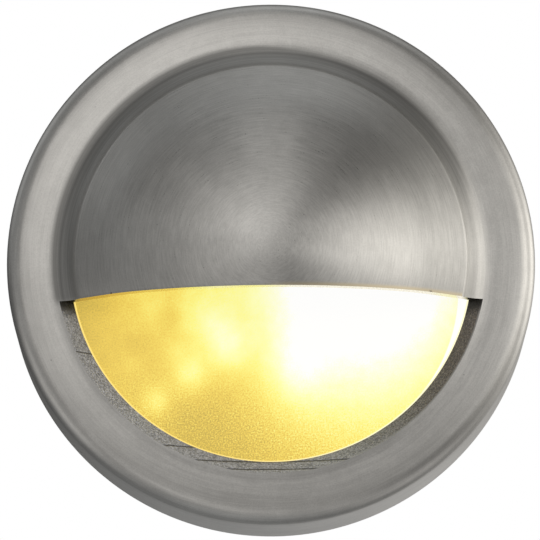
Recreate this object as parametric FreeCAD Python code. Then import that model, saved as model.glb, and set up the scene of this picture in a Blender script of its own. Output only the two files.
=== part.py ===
"""Surface-mounted eyelid light: a cast cover with a brim and a half-dome hood over a frosted, lamp-lit glass.

Millimetres, +Z up. The origin is the centre of the face that meets the wall, and the light faces -Y.
A depth is a distance out from the wall, so a depth of d lies at y = -d.
"""
import FreeCAD
import Part
import math
import os
from FreeCAD import Vector

# Cover: ring, brim and hood
cover_radius = 54.0
cover_wall = 3.5
cover_rear_gap = 0.8
rear_edge_break = 0.4
rim_round = 3.4
rim_width = 14.2
flare_radius = 6.5
hood_rise = 3.4
hood_cone_width = 5.3
hood_shoulder_width = 6.5
hood_shoulder_radius = 31.0
hood_crown_radius = 63.0
hood_wall = 2.4
hood_edge_height = -8.35

# Window: the conical wall and the ledge that stops the glass
window_lip = 1.8
window_wall_width = 2.6
ledge_setback = 3.9
ledge_land = 0.6

# Glass, its gasket and the ring that clamps it
lens_overlap = 1.9
lens_thickness = 3.2
lens_edge_chamfer = 0.4
gasket_lip = 0.8
gasket_skirt = 0.8
gasket_peek = 0.35
seat_clearance = 0.1
lens_ring_thickness = 1.2
lens_ring_overlap = 1.8
lens_ring_clearance = 1.2
lens_screw_count = 4
lens_screw_grip = 5.0

# Base: pad, floor, spigot and seal
wall_pad_thickness = 1.5
wall_pad_inset = 0.5
base_floor = 2.5
spigot_clearance = 0.3
spigot_wall = 3.6
spigot_head_gap = 0.9
seal_groove_width = 2.6
seal_groove_floor = 1.6
seal_groove_land = 0.9
seal_side_clearance = 0.15
seal_bore_clearance = 0.05
base_edge_break = 0.5

# Screws
screw_shank_radius = 1.25
screw_head_radius = 2.3
screw_head_height = 1.5
screw_hole_play = 0.03
screw_pass_play = 0.3
screw_grip = 1.8
recess_width = 0.7
recess_length = 2.6
recess_depth = 0.8
set_screw_radius = 2.0
set_screw_land = 0.5
set_screw_angles = (0.0, 180.0)
set_screw_tip_gap = 0.05
set_screw_sink = 0.4
set_screw_play = 0.05
set_screw_socket = 2.0
set_screw_socket_depth = 1.8

# Wall fixing holes and cable inlet
fixing_hole_radius = 2.25
fixing_inset = 8.6
fixing_head_radius = 4.2
fixing_pad_play = 0.35
inlet_x = -15.0
inlet_z = 26.0
inlet_bore_radius = 3.0
grommet_wall = 1.6
grommet_flange = 1.6
grommet_flange_thickness = 1.2
grommet_play = 0.05

# Reflector trough
sheet_thickness = 0.5
trough_end_gap = 15.6
trough_foot_gap = 22.6
trough_top = 9.0
trough_bottom_lip = 4.5
trough_top_lip = 2.8
trough_screw_inset = 7.0
trough_screw_rise = 5.0
pedestal_slot_play = 0.5

# Lamp and its socket
lamp_height = -4.0
lamp_radius = 4.3
lamp_lens_gap = 1.1
quartz_wall = 1.0
pin_radius = 0.35
pin_spacing = 4.0
pin_length = 7.5
pin_play = 0.05
pinch_gap = 0.2
pinch_length = 6.0
pinch_width = 8.2
pinch_thickness = 2.6
pinch_edge = 0.5
bulb_neck = 3.0
bulb_length = 12.0
bulb_tip = 1.0
bulb_tip_radius = 0.8
socket_front = 4.0
socket_length = 14.0
socket_width = 11.0
socket_height = 8.0
socket_lip = 1.0
contact_radius = 1.0
contact_length = 11.0
contact_play = 0.05
pin_hole_radius = 0.6
pedestal_inset = 1.0
pedestal_rise = 1.6

# Strap over the socket
strap_thickness = 0.7
strap_width = 7.0
strap_play = 0.1
strap_foot = 6.2

# Filament
filament_radius = 0.75
filament_wire = 0.1
filament_pitch = 0.62
filament_turns = 6
filament_distance = 7.0

# Terminal block
terminal_x = 8.0
terminal_z = 26.0
terminal_width = 20.0
terminal_length = 13.0
terminal_edge = 0.8
terminal_lens_gap = 1.6
pole_spacing = 10.0
clamp_radius = 2.2
clamp_bore = 1.4
clamp_inset = 0.5
clamp_play = 0.05
clamp_screw_spacing = 6.0
clamp_screw_radius = 1.1
clamp_screw_head_radius = 1.6
clamp_screw_head_height = 1.1
clamp_screw_sink = 0.5
clamp_well_play = 0.2

# Leads from the socket to the terminal block
lead_radius = 0.9
lead_bend = 4.0
lead_inner_x = -18.0
lead_inner_z = 13.0
lead_pitch = 3.5
lead_grip = 3.0

FRONT = Vector(0, -1, 0)
TURN_AXIS = Vector(0, 1, 0)
ORIGIN = Vector(0, 0, 0)

# Radii that follow from the cover's
hood_foot_radius = cover_radius - rim_width
hood_cone_radius = hood_foot_radius - hood_cone_width
hood_knee_radius = hood_cone_radius - hood_shoulder_width
flare_end_radius = hood_foot_radius + math.sqrt((2 * flare_radius - hood_rise) * hood_rise)
window_radius = flare_end_radius - window_lip
aperture_radius = window_radius - window_wall_width
lens_radius = aperture_radius + lens_overlap
seat_radius = lens_radius + gasket_skirt + seat_clearance
bore_radius = cover_radius - cover_wall
spigot_radius = bore_radius - spigot_clearance
spigot_inner_radius = spigot_radius - spigot_wall
lens_screw_radius = (seat_radius + bore_radius) / 2

# Places in the base that follow from its spigot
fixing_hole_spacing = 2 * (spigot_inner_radius - fixing_inset)
trough_half_length = spigot_inner_radius - trough_end_gap
trough_bottom = trough_foot_gap - spigot_inner_radius
trough_screw_x = trough_half_length - trough_screw_inset

# Depths, stacked up from the wall: base, lamp, glass and its ledge
floor_depth = wall_pad_thickness + base_floor
lamp_depth = floor_depth + pedestal_rise + socket_height / 2
lens_back = lamp_depth + lamp_radius + lamp_lens_gap
lens_front = lens_back + lens_thickness
ledge_depth = lens_front + gasket_lip
ring_back = lens_back - lens_ring_thickness
spigot_depth = ring_back - screw_head_height - spigot_head_gap
groove_front = spigot_depth - seal_groove_land
groove_back = groove_front - seal_groove_width
set_screw_depth = groove_back - set_screw_land - set_screw_radius


def section_point(radius, depth):
    """A point of a turned section, at a radius from the axis and a depth out from the wall."""
    return Vector(radius, -depth, 0)


def line(start, end):
    """A straight edge of a turned section between two (radius, depth) points."""
    return Part.makeLine(section_point(*start), section_point(*end))


def polyline(points):
    """Straight edges of a turned section through the points in turn."""
    return [line(a, b) for a, b in zip(points, points[1:])]


def on_circle(centre, radius, angle):
    """The (radius, depth) point of a circle at an angle from outward towards the front."""
    turn = math.radians(angle)
    return (centre[0] + radius * math.cos(turn), centre[1] + radius * math.sin(turn))


def arc(centre, radius, start, end):
    """A round edge of a turned section between two angles."""
    points = [on_circle(centre, radius, angle) for angle in (start, (start + end) / 2, end)]
    return Part.Arc(*[section_point(*p) for p in points]).toShape()


def angle_to(centre, point):
    """The angle of a point as seen from a circle's centre."""
    return math.degrees(math.atan2(point[1] - centre[1], point[0] - centre[0]))


def turned(edges, x=0.0, z=0.0):
    """A solid of revolution about an axis that points out of the wall at (x, z)."""
    solid = Part.Face(Part.Wire(edges)).revolve(ORIGIN, TURN_AXIS, 360)
    if solid.Volume < 0:
        solid.reverse()
    solid.translate(Vector(x, 0, z))
    return solid


def turned_polygon(points, x=0.0, z=0.0):
    """A solid of revolution of a closed straight-sided section."""
    return turned(polyline(points + points[:1]), x, z)


def post(radius, back, front, x=0.0, z=0.0):
    """A round post or hole along the light's axis, between two depths."""
    return Part.makeCylinder(radius, front - back, Vector(x, -back, z), FRONT)


def sideways(radius, x_start, x_end, z, depth):
    """A round rod or hole along X."""
    return Part.makeCylinder(radius, x_end - x_start, Vector(x_start, -depth, z), Vector(1, 0, 0))


def block(x_range, z_range, depth_range):
    """A plain box between three pairs of limits, used as a cutter or a starting form."""
    corner = Vector(x_range[0], -depth_range[1], z_range[0])
    return Part.makeBox(x_range[1] - x_range[0], depth_range[1] - depth_range[0],
                        z_range[1] - z_range[0], corner)


def folded(profile, x_start, x_end):
    """A sheet whose closed (z, depth) profile runs along X."""
    points = [Vector(x_start, -depth, z) for z, depth in profile]
    face = Part.Face(Part.makePolygon(points + points[:1]))
    return face.extrude(Vector(x_end - x_start, 0, 0))


def around(radius, count, first_angle):
    """The (x, z) places of a ring of like things."""
    angles = [math.radians(first_angle + 360.0 * i / count) for i in range(count)]
    return [(radius * math.cos(a), radius * math.sin(a)) for a in angles]


def pan_screw(x, z, seat_depth, grip):
    """A pan-head screw with a cross recess, its head on seat_depth and its shank towards the wall."""
    head = post(screw_head_radius, seat_depth, seat_depth + screw_head_height, x, z)
    rim = [e for e in head.Edges if e.Closed and e.BoundBox.YMax < -seat_depth - screw_head_height / 2]
    head = head.makeFillet(screw_head_height / 2, rim)
    top = seat_depth + screw_head_height
    across = (-recess_width / 2, recess_width / 2)
    along = (-recess_length / 2, recess_length / 2)
    for x_half, z_half in ((across, along), (along, across)):
        slot = block([x + v for v in x_half], [z + v for v in z_half], (top - recess_depth, top))
        head = head.cut(slot)
    return head.fuse(post(screw_shank_radius, seat_depth - grip, seat_depth, x, z)).removeSplitter()


# The hood's section, stacked up from the brim: flare, cone, shoulder and crown
brim_depth = ledge_depth + ledge_setback
foot_depth = brim_depth + hood_rise
knee_angle = math.asin(hood_knee_radius / hood_crown_radius)
cone_angle = math.asin(math.sin(knee_angle) + hood_shoulder_width / hood_shoulder_radius)
shoulder_reach = hood_crown_radius - hood_shoulder_radius
shoulder_radius = shoulder_reach * math.sin(knee_angle)
cone_depth = foot_depth + hood_cone_width * math.tan(cone_angle)
shoulder_depth = cone_depth - hood_shoulder_radius * math.cos(cone_angle)
crown_depth = shoulder_depth - shoulder_reach * math.cos(knee_angle)
overall_depth = crown_depth + hood_crown_radius


def hood_arcs(inset):
    """The hood's shoulder and crown as two round edges, drawn in by a wall's thickness."""
    cone = 90.0 - math.degrees(cone_angle)
    knee = 90.0 - math.degrees(knee_angle)
    shoulder = arc((shoulder_radius, shoulder_depth), hood_shoulder_radius - inset, cone, knee)
    crown = arc((0.0, crown_depth), hood_crown_radius - inset, knee, 90.0)
    return [shoulder, crown]


def cone_start(inset):
    """Where the hood's shoulder runs into its cone, drawn in by a wall's thickness."""
    return on_circle((shoulder_radius, shoulder_depth), hood_shoulder_radius - inset,
                     90.0 - math.degrees(cone_angle))


def make_eyelid_cover():
    """The cast cover: side wall, brim, flare and hood in one section, with the window cut out below."""
    rear = cover_rear_gap
    foot = (hood_foot_radius, foot_depth)
    rim = (cover_radius - rim_round, brim_depth - rim_round)
    flare = (flare_end_radius, brim_depth + flare_radius)
    inner_cone = cone_start(hood_wall)
    inner_foot_depth = inner_cone[1] - (aperture_radius - inner_cone[0]) * math.tan(cone_angle)
    edges = polyline([
        (bore_radius, rear),
        (cover_radius - rear_edge_break, rear),
        (cover_radius, rear + rear_edge_break),
        (cover_radius, rim[1]),
    ])
    edges.append(arc(rim, rim_round, 0.0, 90.0))
    edges.append(line((rim[0], brim_depth), (flare_end_radius, brim_depth)))
    edges.append(arc(flare, flare_radius, -90.0, angle_to(flare, foot)))
    edges.append(line(foot, cone_start(0.0)))
    edges += hood_arcs(0.0)
    edges.append(line((0.0, overall_depth), (0.0, overall_depth - hood_wall)))
    edges += reversed(hood_arcs(hood_wall))
    edges += polyline([
        inner_cone,
        (aperture_radius, inner_foot_depth),
        (aperture_radius, ledge_depth),
        (seat_radius, ledge_depth),
        (seat_radius, lens_back),
        (bore_radius, lens_back),
        (bore_radius, rear),
    ])
    cover = turned(edges)
    wall_foot = ledge_depth + ledge_land
    wall_slope = window_wall_width / (brim_depth - wall_foot)
    window = turned_polygon([
        (0.0, lens_back),
        (aperture_radius, lens_back),
        (aperture_radius, wall_foot),
        (aperture_radius + wall_slope * (overall_depth - wall_foot), overall_depth),
        (0.0, overall_depth),
    ])
    below = block((-cover_radius, cover_radius), (-cover_radius, hood_edge_height), (0.0, overall_depth))
    cover = cover.cut(window.common(below))
    for x, z in around(lens_screw_radius, lens_screw_count, 45.0):
        hole = screw_shank_radius + screw_hole_play
        cover = cover.cut(post(hole, lens_back, lens_back + lens_screw_grip, x, z))
    for angle in set_screw_angles:
        outward = Vector(math.cos(math.radians(angle)), 0, math.sin(math.radians(angle)))
        start = outward * (bore_radius - cover_wall) + FRONT * set_screw_depth
        hole = set_screw_radius + set_screw_play
        cover = cover.cut(Part.makeCylinder(hole, 3 * cover_wall, start, outward))
    return cover


def make_set_screws():
    """Socket set screws through the side wall, their flat tips on the base's spigot."""
    screws = []
    for angle in set_screw_angles:
        outward = Vector(math.cos(math.radians(angle)), 0, math.sin(math.radians(angle)))
        tip = spigot_radius + set_screw_tip_gap
        head = cover_radius - set_screw_sink
        start = outward * tip + FRONT * set_screw_depth
        body = Part.makeCylinder(set_screw_radius, head - tip, start, outward)
        key_radius = set_screw_socket / math.sqrt(3)
        side = outward.cross(FRONT)
        corners = []
        for step in range(7):
            turn = math.radians(60.0 * step)
            offset = side * (key_radius * math.cos(turn)) + FRONT * (key_radius * math.sin(turn))
            corners.append(outward * (head - set_screw_socket_depth) + FRONT * set_screw_depth + offset)
        key = Part.Face(Part.makePolygon(corners)).extrude(outward * (2 * set_screw_socket_depth))
        screws.append(body.cut(key))
    return Part.makeCompound(screws)


def make_lens():
    """The frosted glass disc, with broken edges."""
    c = lens_edge_chamfer
    return turned_polygon([
        (0.0, lens_back),
        (lens_radius - c, lens_back),
        (lens_radius, lens_back + c),
        (lens_radius, lens_front - c),
        (lens_radius - c, lens_front),
        (0.0, lens_front),
    ])


def make_lens_gasket():
    """Silicone ring of L section: a lip in front of the glass and a skirt round its edge."""
    outer = lens_radius + gasket_skirt
    return turned_polygon([
        (aperture_radius - gasket_peek, lens_front),
        (lens_radius, lens_front),
        (lens_radius, lens_back),
        (outer, lens_back),
        (outer, ledge_depth),
        (aperture_radius - gasket_peek, ledge_depth),
    ])


def make_lens_ring():
    """Stamped ring that bears on the glass and is screwed to the cover's shoulder."""
    ring = turned_polygon([
        (lens_radius - lens_ring_overlap, ring_back),
        (bore_radius - lens_ring_clearance, ring_back),
        (bore_radius - lens_ring_clearance, lens_back),
        (lens_radius - lens_ring_overlap, lens_back),
    ])
    for x, z in around(lens_screw_radius, lens_screw_count, 45.0):
        ring = ring.cut(post(screw_shank_radius + screw_pass_play, ring_back, lens_back, x, z))
    return ring


def make_lens_ring_screws():
    """Screws that hold the clamping ring, driven from behind."""
    screws = []
    for x, z in around(lens_screw_radius, lens_screw_count, 45.0):
        screw = pan_screw(x, z, 0.0, lens_ring_thickness + lens_screw_grip - screw_hole_play)
        screw.rotate(Vector(x, 0, z), Vector(1, 0, 0), 180)
        screw.translate(FRONT * ring_back)
        screws.append(screw)
    return Part.makeCompound(screws)


# The base: what stays on the wall


def fixing_places():
    """Where the two wall screws go."""
    return [(-fixing_hole_spacing / 2, 0.0), (fixing_hole_spacing / 2, 0.0)]


def trough_screw_places():
    """Where the two reflector screws go."""
    z = trough_bottom + trough_screw_rise
    return [(-trough_screw_x, z), (trough_screw_x, z)]


def strap_middle():
    """Where the strap crosses the socket, along X."""
    return socket_front - socket_length / 2


def strap_screw_places():
    """Where the two strap screws go, in the middle of the strap's feet."""
    reach = socket_width / 2 + strap_play + strap_thickness + strap_foot / 2
    return [(strap_middle(), lamp_height - reach), (strap_middle(), lamp_height + reach)]


def make_wall_pad():
    """Foam pad behind the base, with holes for the wall screws and the cable."""
    pad = post(spigot_radius - wall_pad_inset, 0.0, wall_pad_thickness)
    for x, z in fixing_places():
        pad = pad.cut(post(fixing_hole_radius + fixing_pad_play, 0.0, wall_pad_thickness, x, z))
    return pad.cut(post(grommet_outer() + screw_pass_play, 0.0, wall_pad_thickness, inlet_x, inlet_z))


def grommet_outer():
    """Radius of the grommet's flanges."""
    return inlet_bore_radius + grommet_wall + grommet_flange


def make_base_plate():
    """Turned base plate with a pedestal under the socket, countersunk wall holes and the cable hole."""
    back = wall_pad_thickness
    base = turned_polygon([
        (0.0, back),
        (spigot_radius - base_edge_break, back),
        (spigot_radius, back + base_edge_break),
        (spigot_radius, floor_depth),
        (0.0, floor_depth),
    ])
    half_width = socket_width / 2 - pedestal_inset
    pedestal = block((socket_front - socket_length + pedestal_inset, socket_front - pedestal_inset),
                     (lamp_height - half_width, lamp_height + half_width),
                     (back, floor_depth + pedestal_rise))
    base = base.fuse(pedestal).removeSplitter()
    for x, z in fixing_places():
        base = base.cut(post(fixing_hole_radius, back, floor_depth, x, z))
        sink = fixing_head_radius - fixing_hole_radius
        cone = Part.makeCone(fixing_hole_radius, fixing_head_radius, sink,
                             Vector(x, -(floor_depth - sink), z), FRONT)
        base = base.cut(cone)
    inlet = inlet_bore_radius + grommet_wall + grommet_play
    base = base.cut(post(inlet, back, floor_depth, inlet_x, inlet_z))
    hole = screw_shank_radius + screw_hole_play
    for x, z in trough_screw_places() + strap_screw_places() + [(terminal_x, terminal_z)]:
        base = base.cut(post(hole, floor_depth - screw_grip, floor_depth, x, z))
    return base


def make_base_spigot():
    """Turned ring on the base plate, which carries the cover and has the groove for the seal."""
    groove_radius = spigot_radius - seal_groove_floor
    return turned_polygon([
        (spigot_inner_radius, floor_depth),
        (spigot_radius, floor_depth),
        (spigot_radius, groove_back),
        (groove_radius, groove_back),
        (groove_radius, groove_front),
        (spigot_radius, groove_front),
        (spigot_radius, spigot_depth - base_edge_break),
        (spigot_radius - base_edge_break, spigot_depth),
        (spigot_inner_radius, spigot_depth),
    ])


def make_body_o_ring():
    """Seal ring in the spigot's groove, pressed to an oval by the cover's bore."""
    inner = spigot_radius - seal_groove_floor
    outer = bore_radius - seal_bore_clearance
    half = (outer - inner) / 2
    front = groove_front - seal_side_clearance
    back = groove_back + seal_side_clearance
    middle = (inner + outer) / 2
    return turned([
        arc((middle, front - half), half, 0.0, 180.0),
        line((inner, front - half), (inner, back + half)),
        arc((middle, back + half), half, 180.0, 360.0),
        line((outer, back + half), (outer, front - half)),
    ])


def make_cable_grommet():
    """Rubber inlet that grips the edge of the base's hole with a flange on each side."""
    neck = inlet_bore_radius + grommet_wall
    outer = grommet_outer()
    back = wall_pad_thickness
    return turned_polygon([
        (inlet_bore_radius, back - grommet_flange_thickness),
        (outer, back - grommet_flange_thickness),
        (outer, back),
        (neck, back),
        (neck, floor_depth),
        (outer, floor_depth),
        (outer - grommet_flange_thickness / 2, floor_depth + grommet_flange_thickness),
        (inlet_bore_radius, floor_depth + grommet_flange_thickness),
    ], inlet_x, inlet_z)


def make_reflector():
    """Folded trough behind the lamp, open round the socket's pedestal."""
    t = sheet_thickness
    low = floor_depth
    miter = t * math.tan(math.radians(22.5))
    lift = t * math.sin(math.radians(45.0))
    trough = folded([
        (trough_bottom - trough_bottom_lip, low + trough_bottom_lip),
        (trough_bottom, low),
        (trough_top, low),
        (trough_top + trough_top_lip, low + trough_top_lip),
        (trough_top + trough_top_lip - lift, low + trough_top_lip + lift),
        (trough_top - miter, low + t),
        (trough_bottom + miter, low + t),
        (trough_bottom - trough_bottom_lip + lift, low + trough_bottom_lip + lift),
    ], -trough_half_length, trough_half_length)
    half_width = socket_width / 2 - pedestal_inset + pedestal_slot_play
    reach = pedestal_inset - pedestal_slot_play
    slot = block((socket_front - socket_length + reach, socket_front - reach),
                 (lamp_height - half_width, lamp_height + half_width), (0.0, lens_back))
    trough = trough.cut(slot)
    for x, z in trough_screw_places() + strap_screw_places():
        trough = trough.cut(post(screw_shank_radius + screw_pass_play, 0.0, lens_back, x, z))
    return trough


def make_reflector_screws():
    """Two screws through the reflector into the base."""
    seat = floor_depth + sheet_thickness
    grip = sheet_thickness + screw_grip - screw_hole_play
    return Part.makeCompound([pan_screw(x, z, seat, grip) for x, z in trough_screw_places()])


# Lamp socket


def stadium(width, height, x_start, x_end):
    """A bar along X of rounded section about the lamp's axis."""
    radius = height / 2
    half = width / 2 - radius
    def at(z, d):
        return Vector(x_start, -(lamp_depth + d), lamp_height + z)
    edges = [
        Part.makeLine(at(-half, radius), at(half, radius)),
        Part.Arc(at(half, radius), at(half + radius, 0), at(half, -radius)).toShape(),
        Part.makeLine(at(half, -radius), at(-half, -radius)),
        Part.Arc(at(-half, -radius), at(-half - radius, 0), at(-half, radius)).toShape(),
    ]
    return Part.Face(Part.Wire(edges)).extrude(Vector(x_end - x_start, 0, 0))


def contact_heights():
    """Heights of the two lamp pins and their contacts."""
    return (lamp_height - pin_spacing / 2, lamp_height + pin_spacing / 2)


def make_lampholder():
    """Ceramic socket with a channel for each contact and a small hole for each pin."""
    rear = socket_front - socket_length
    body = stadium(socket_width, socket_height, rear, socket_front)
    for z in contact_heights():
        channel = contact_radius + contact_play
        body = body.cut(sideways(channel, rear, socket_front - socket_lip, z, lamp_depth))
        body = body.cut(sideways(pin_hole_radius, rear, socket_front, z, lamp_depth))
    return body


def make_lampholder_contacts():
    """Brass sleeves that take the lamp's pins."""
    front = socket_front - socket_lip
    sleeves = []
    for z in contact_heights():
        sleeve = sideways(contact_radius, front - contact_length, front, z, lamp_depth)
        bore = sideways(pin_radius + pin_play, front - contact_length + contact_radius, front, z, lamp_depth)
        sleeves.append(sleeve.cut(bore))
    return Part.makeCompound(sleeves)


def make_lampholder_strap():
    """Bent strap over the socket, its feet on the reflector."""
    t = strap_thickness
    wall = socket_width / 2 + strap_play
    reach = wall + t + strap_foot
    low = floor_depth + sheet_thickness
    top = lamp_depth + socket_height / 2
    half_profile = [(reach, low), (wall, low), (wall, top)]
    outer_profile = [(wall + t, top + t), (wall + t, low + t), (reach, low + t)]
    inner = half_profile + [(-z, d) for z, d in reversed(half_profile)]
    outer = [(-z, d) for z, d in reversed(outer_profile)] + outer_profile
    profile = [(lamp_height + z, d) for z, d in inner + outer]
    strap = folded(profile, strap_middle() - strap_width / 2, strap_middle() + strap_width / 2)
    for x, z in strap_screw_places():
        strap = strap.cut(post(screw_shank_radius + screw_pass_play, 0.0, lamp_depth, x, z))
    return strap


def make_strap_screws():
    """Two screws through the strap and the reflector into the base."""
    seat = floor_depth + sheet_thickness + strap_thickness
    grip = sheet_thickness + strap_thickness + screw_grip - screw_hole_play
    return Part.makeCompound([pan_screw(x, z, seat, grip) for x, z in strap_screw_places()])


# Lamp: quartz capsule, pins and filament, along X


pinch_start = socket_front + pinch_gap
bulb_start = pinch_start + pinch_length
bulb_shoulder = bulb_start + bulb_neck
bulb_end = bulb_shoulder + bulb_length


def make_lamp_capsule():
    """Quartz bulb with a hollow inside, a flat pinch behind and a sealed tip in front."""
    hollow_radius = lamp_radius - quartz_wall
    tip_angle = math.degrees(math.acos(bulb_tip_radius / lamp_radius))
    tip_start = on_circle((0.0, bulb_end), lamp_radius, tip_angle)
    tip_centre = (0.0, bulb_end + lamp_radius + bulb_tip - bulb_tip_radius)
    edges = polyline([
        (0.0, bulb_shoulder),
        (0.0, bulb_start),
        (pinch_thickness / 2, bulb_start),
        (lamp_radius, bulb_shoulder),
        (lamp_radius, bulb_end),
    ])
    edges.append(arc((0.0, bulb_end), lamp_radius, 0.0, tip_angle))
    edges.append(line(tip_start, (bulb_tip_radius, tip_centre[1])))
    edges.append(arc(tip_centre, bulb_tip_radius, 0.0, 90.0))
    edges.append(line((0.0, tip_centre[1] + bulb_tip_radius), (0.0, bulb_end + hollow_radius)))
    edges.append(arc((0.0, bulb_end), hollow_radius, 90.0, 0.0))
    edges += polyline([(hollow_radius, bulb_end), (hollow_radius, bulb_shoulder), (0.0, bulb_shoulder)])
    bulb = turned(edges)
    bulb.rotate(ORIGIN, Vector(0, 0, 1), 90)
    bulb.translate(Vector(0, -lamp_depth, lamp_height))
    pinch = block((pinch_start, bulb_shoulder),
                  (lamp_height - pinch_width / 2, lamp_height + pinch_width / 2),
                  (lamp_depth - pinch_thickness / 2, lamp_depth + pinch_thickness / 2))
    pinch = pinch.makeFillet(pinch_edge, [e for e in pinch.Edges if e.BoundBox.XLength > pinch_length])
    return bulb.fuse(pinch).removeSplitter()


def make_lamp_pins():
    """The two pins, from the pinch into the socket's contacts."""
    tip = pinch_start - pin_length
    pins = [sideways(pin_radius, tip, pinch_start, z, lamp_depth) for z in contact_heights()]
    return Part.makeCompound(pins)


def helix_point(turns):
    """A point of the filament's coil after a number of turns."""
    angle = math.pi + 2 * math.pi * turns
    height = filament_pitch * (turns - filament_turns / 2)
    return Vector(bulb_shoulder + filament_distance + filament_radius * math.cos(angle),
                  -lamp_depth + filament_radius * math.sin(angle),
                  lamp_height + height)


def make_lamp_filament():
    """Coil on an upright axis, held by two legs that stand on the end of the hollow."""
    edges = []
    for quarter in range(4 * filament_turns):
        points = [helix_point((quarter + part) / 4) for part in (0.0, 0.5, 1.0)]
        edges.append(Part.Arc(*points).toShape())
    heading = edges[0].tangentAt(edges[0].FirstParameter)
    section = Part.Wire(Part.makeCircle(filament_wire, helix_point(0), heading))
    coil = Part.Wire(edges).makePipeShell([section], True, False)
    for turns in (0, filament_turns):
        end = helix_point(turns)
        leg = Part.makeCylinder(filament_wire, end.x - bulb_shoulder + filament_wire,
                                Vector(bulb_shoulder, end.y, end.z), Vector(1, 0, 0))
        coil = coil.fuse(leg)
    print("filament gap between turns %.2f mm" % (filament_pitch - 2 * filament_wire))
    return coil


# Terminal block, clamps and leads


def pole_places():
    """The x of each pole."""
    return (terminal_x - pole_spacing / 2, terminal_x + pole_spacing / 2)


def clamp_screw_heights():
    """The z of each clamp screw on a pole."""
    return (terminal_z - clamp_screw_spacing / 2, terminal_z + clamp_screw_spacing / 2)


def terminal_front():
    """Depth of the block's front face."""
    return lens_back - terminal_lens_gap


def upright(radius, z_start, z_end, x):
    """A round rod or hole along Z at the lamp's depth."""
    return Part.makeCylinder(radius, z_end - z_start, Vector(x, -lamp_depth, z_start))


def make_terminal_block():
    """Moulded two-pole block with wire channels, screw wells and a fixing hole between the poles."""
    low = terminal_z - terminal_length / 2
    high = terminal_z + terminal_length / 2
    body = block((terminal_x - terminal_width / 2, terminal_x + terminal_width / 2), (low, high),
                 (floor_depth, terminal_front()))
    front_rim = [e for e in body.Edges if e.BoundBox.YMax < -floor_depth - terminal_edge]
    body = body.makeFillet(terminal_edge, front_rim)
    for x in pole_places():
        body = body.cut(upright(clamp_radius + clamp_play, low, high, x))
        for z in clamp_screw_heights():
            well = clamp_screw_head_radius + clamp_well_play
            body = body.cut(post(well, lamp_depth, terminal_front(), x, z))
    hole = post(screw_shank_radius + screw_pass_play, floor_depth, terminal_front(), terminal_x, terminal_z)
    seat = post(screw_head_radius + clamp_well_play, fixing_seat(), terminal_front(), terminal_x, terminal_z)
    groove = block((terminal_x - terminal_edge, terminal_x + terminal_edge), (low, high),
                   (terminal_front() - terminal_edge, terminal_front()))
    return body.cut(hole).cut(seat).cut(groove)


def fixing_seat():
    """Depth of the seat for the block's fixing screw."""
    return terminal_front() - 2 * screw_head_height


def make_terminal_fixing_screw():
    """Long screw through the middle of the block into the base."""
    grip = fixing_seat() - floor_depth + screw_grip - screw_hole_play
    return pan_screw(terminal_x, terminal_z, fixing_seat(), grip)


def make_terminal_clamps():
    """Brass tubes, each with two tapped holes."""
    clamps = []
    half = terminal_length / 2 - clamp_inset
    for x in pole_places():
        tube = upright(clamp_radius, terminal_z - half, terminal_z + half, x)
        tube = tube.cut(upright(clamp_bore, terminal_z - half, terminal_z + half, x))
        for z in clamp_screw_heights():
            tube = tube.cut(post(clamp_screw_radius + clamp_play, lamp_depth, terminal_front(), x, z))
        clamps.append(tube)
    return Part.makeCompound(clamps)


def make_terminal_screws():
    """Slotted clamp screws, their tips just clear of the wires."""
    tip = lamp_depth + lead_radius + clamp_play
    head_front = terminal_front() - clamp_screw_sink
    head_back = head_front - clamp_screw_head_height
    screws = []
    for x in pole_places():
        for z in clamp_screw_heights():
            screw = post(clamp_screw_radius, tip, head_back, x, z)
            screw = screw.fuse(post(clamp_screw_head_radius, head_back, head_front, x, z))
            slot = block((x - clamp_screw_head_radius, x + clamp_screw_head_radius),
                         (z - recess_width / 2, z + recess_width / 2),
                         (head_front - clamp_screw_head_height / 2, head_front))
            screws.append(screw.cut(slot))
    return Part.makeCompound(screws)


def lead(corners):
    """An insulated lead at the lamp's depth: straight runs through (x, z) corners, joined by round bends."""
    points = [Vector(x, -lamp_depth, z) for x, z in corners]
    edges = []
    here = points[0]
    for before, corner, after in zip(points, points[1:], points[2:]):
        back = (before - corner).normalize()
        ahead = (after - corner).normalize()
        bend_start = corner + back * lead_bend
        bend_end = corner + ahead * lead_bend
        middle = corner + (back + ahead) * (lead_bend * (1 - math.sqrt(0.5)))
        edges.append(Part.makeLine(here, bend_start))
        edges.append(Part.Arc(bend_start, middle, bend_end).toShape())
        here = bend_end
    edges.append(Part.makeLine(here, points[-1]))
    section = Part.Wire(Part.makeCircle(lead_radius, points[0], points[1] - points[0]))
    return Part.Wire(edges).makePipeShell([section], True, False)


def make_leads():
    """Both leads, nested so that they don't cross: each leaves a contact and ends in a clamp."""
    start_x = socket_front - socket_lip - contact_length
    end_z = terminal_z - terminal_length / 2 + lead_grip
    low, high = contact_heights()
    left, right = pole_places()
    inner = lead([
        (start_x, high),
        (lead_inner_x, high),
        (lead_inner_x, lead_inner_z),
        (right, lead_inner_z),
        (right, end_z),
    ])
    outer = lead([
        (start_x, low),
        (lead_inner_x - lead_pitch, low),
        (lead_inner_x - lead_pitch, lead_inner_z + lead_pitch),
        (left, lead_inner_z + lead_pitch),
        (left, end_z),
    ])
    return inner, outer


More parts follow.
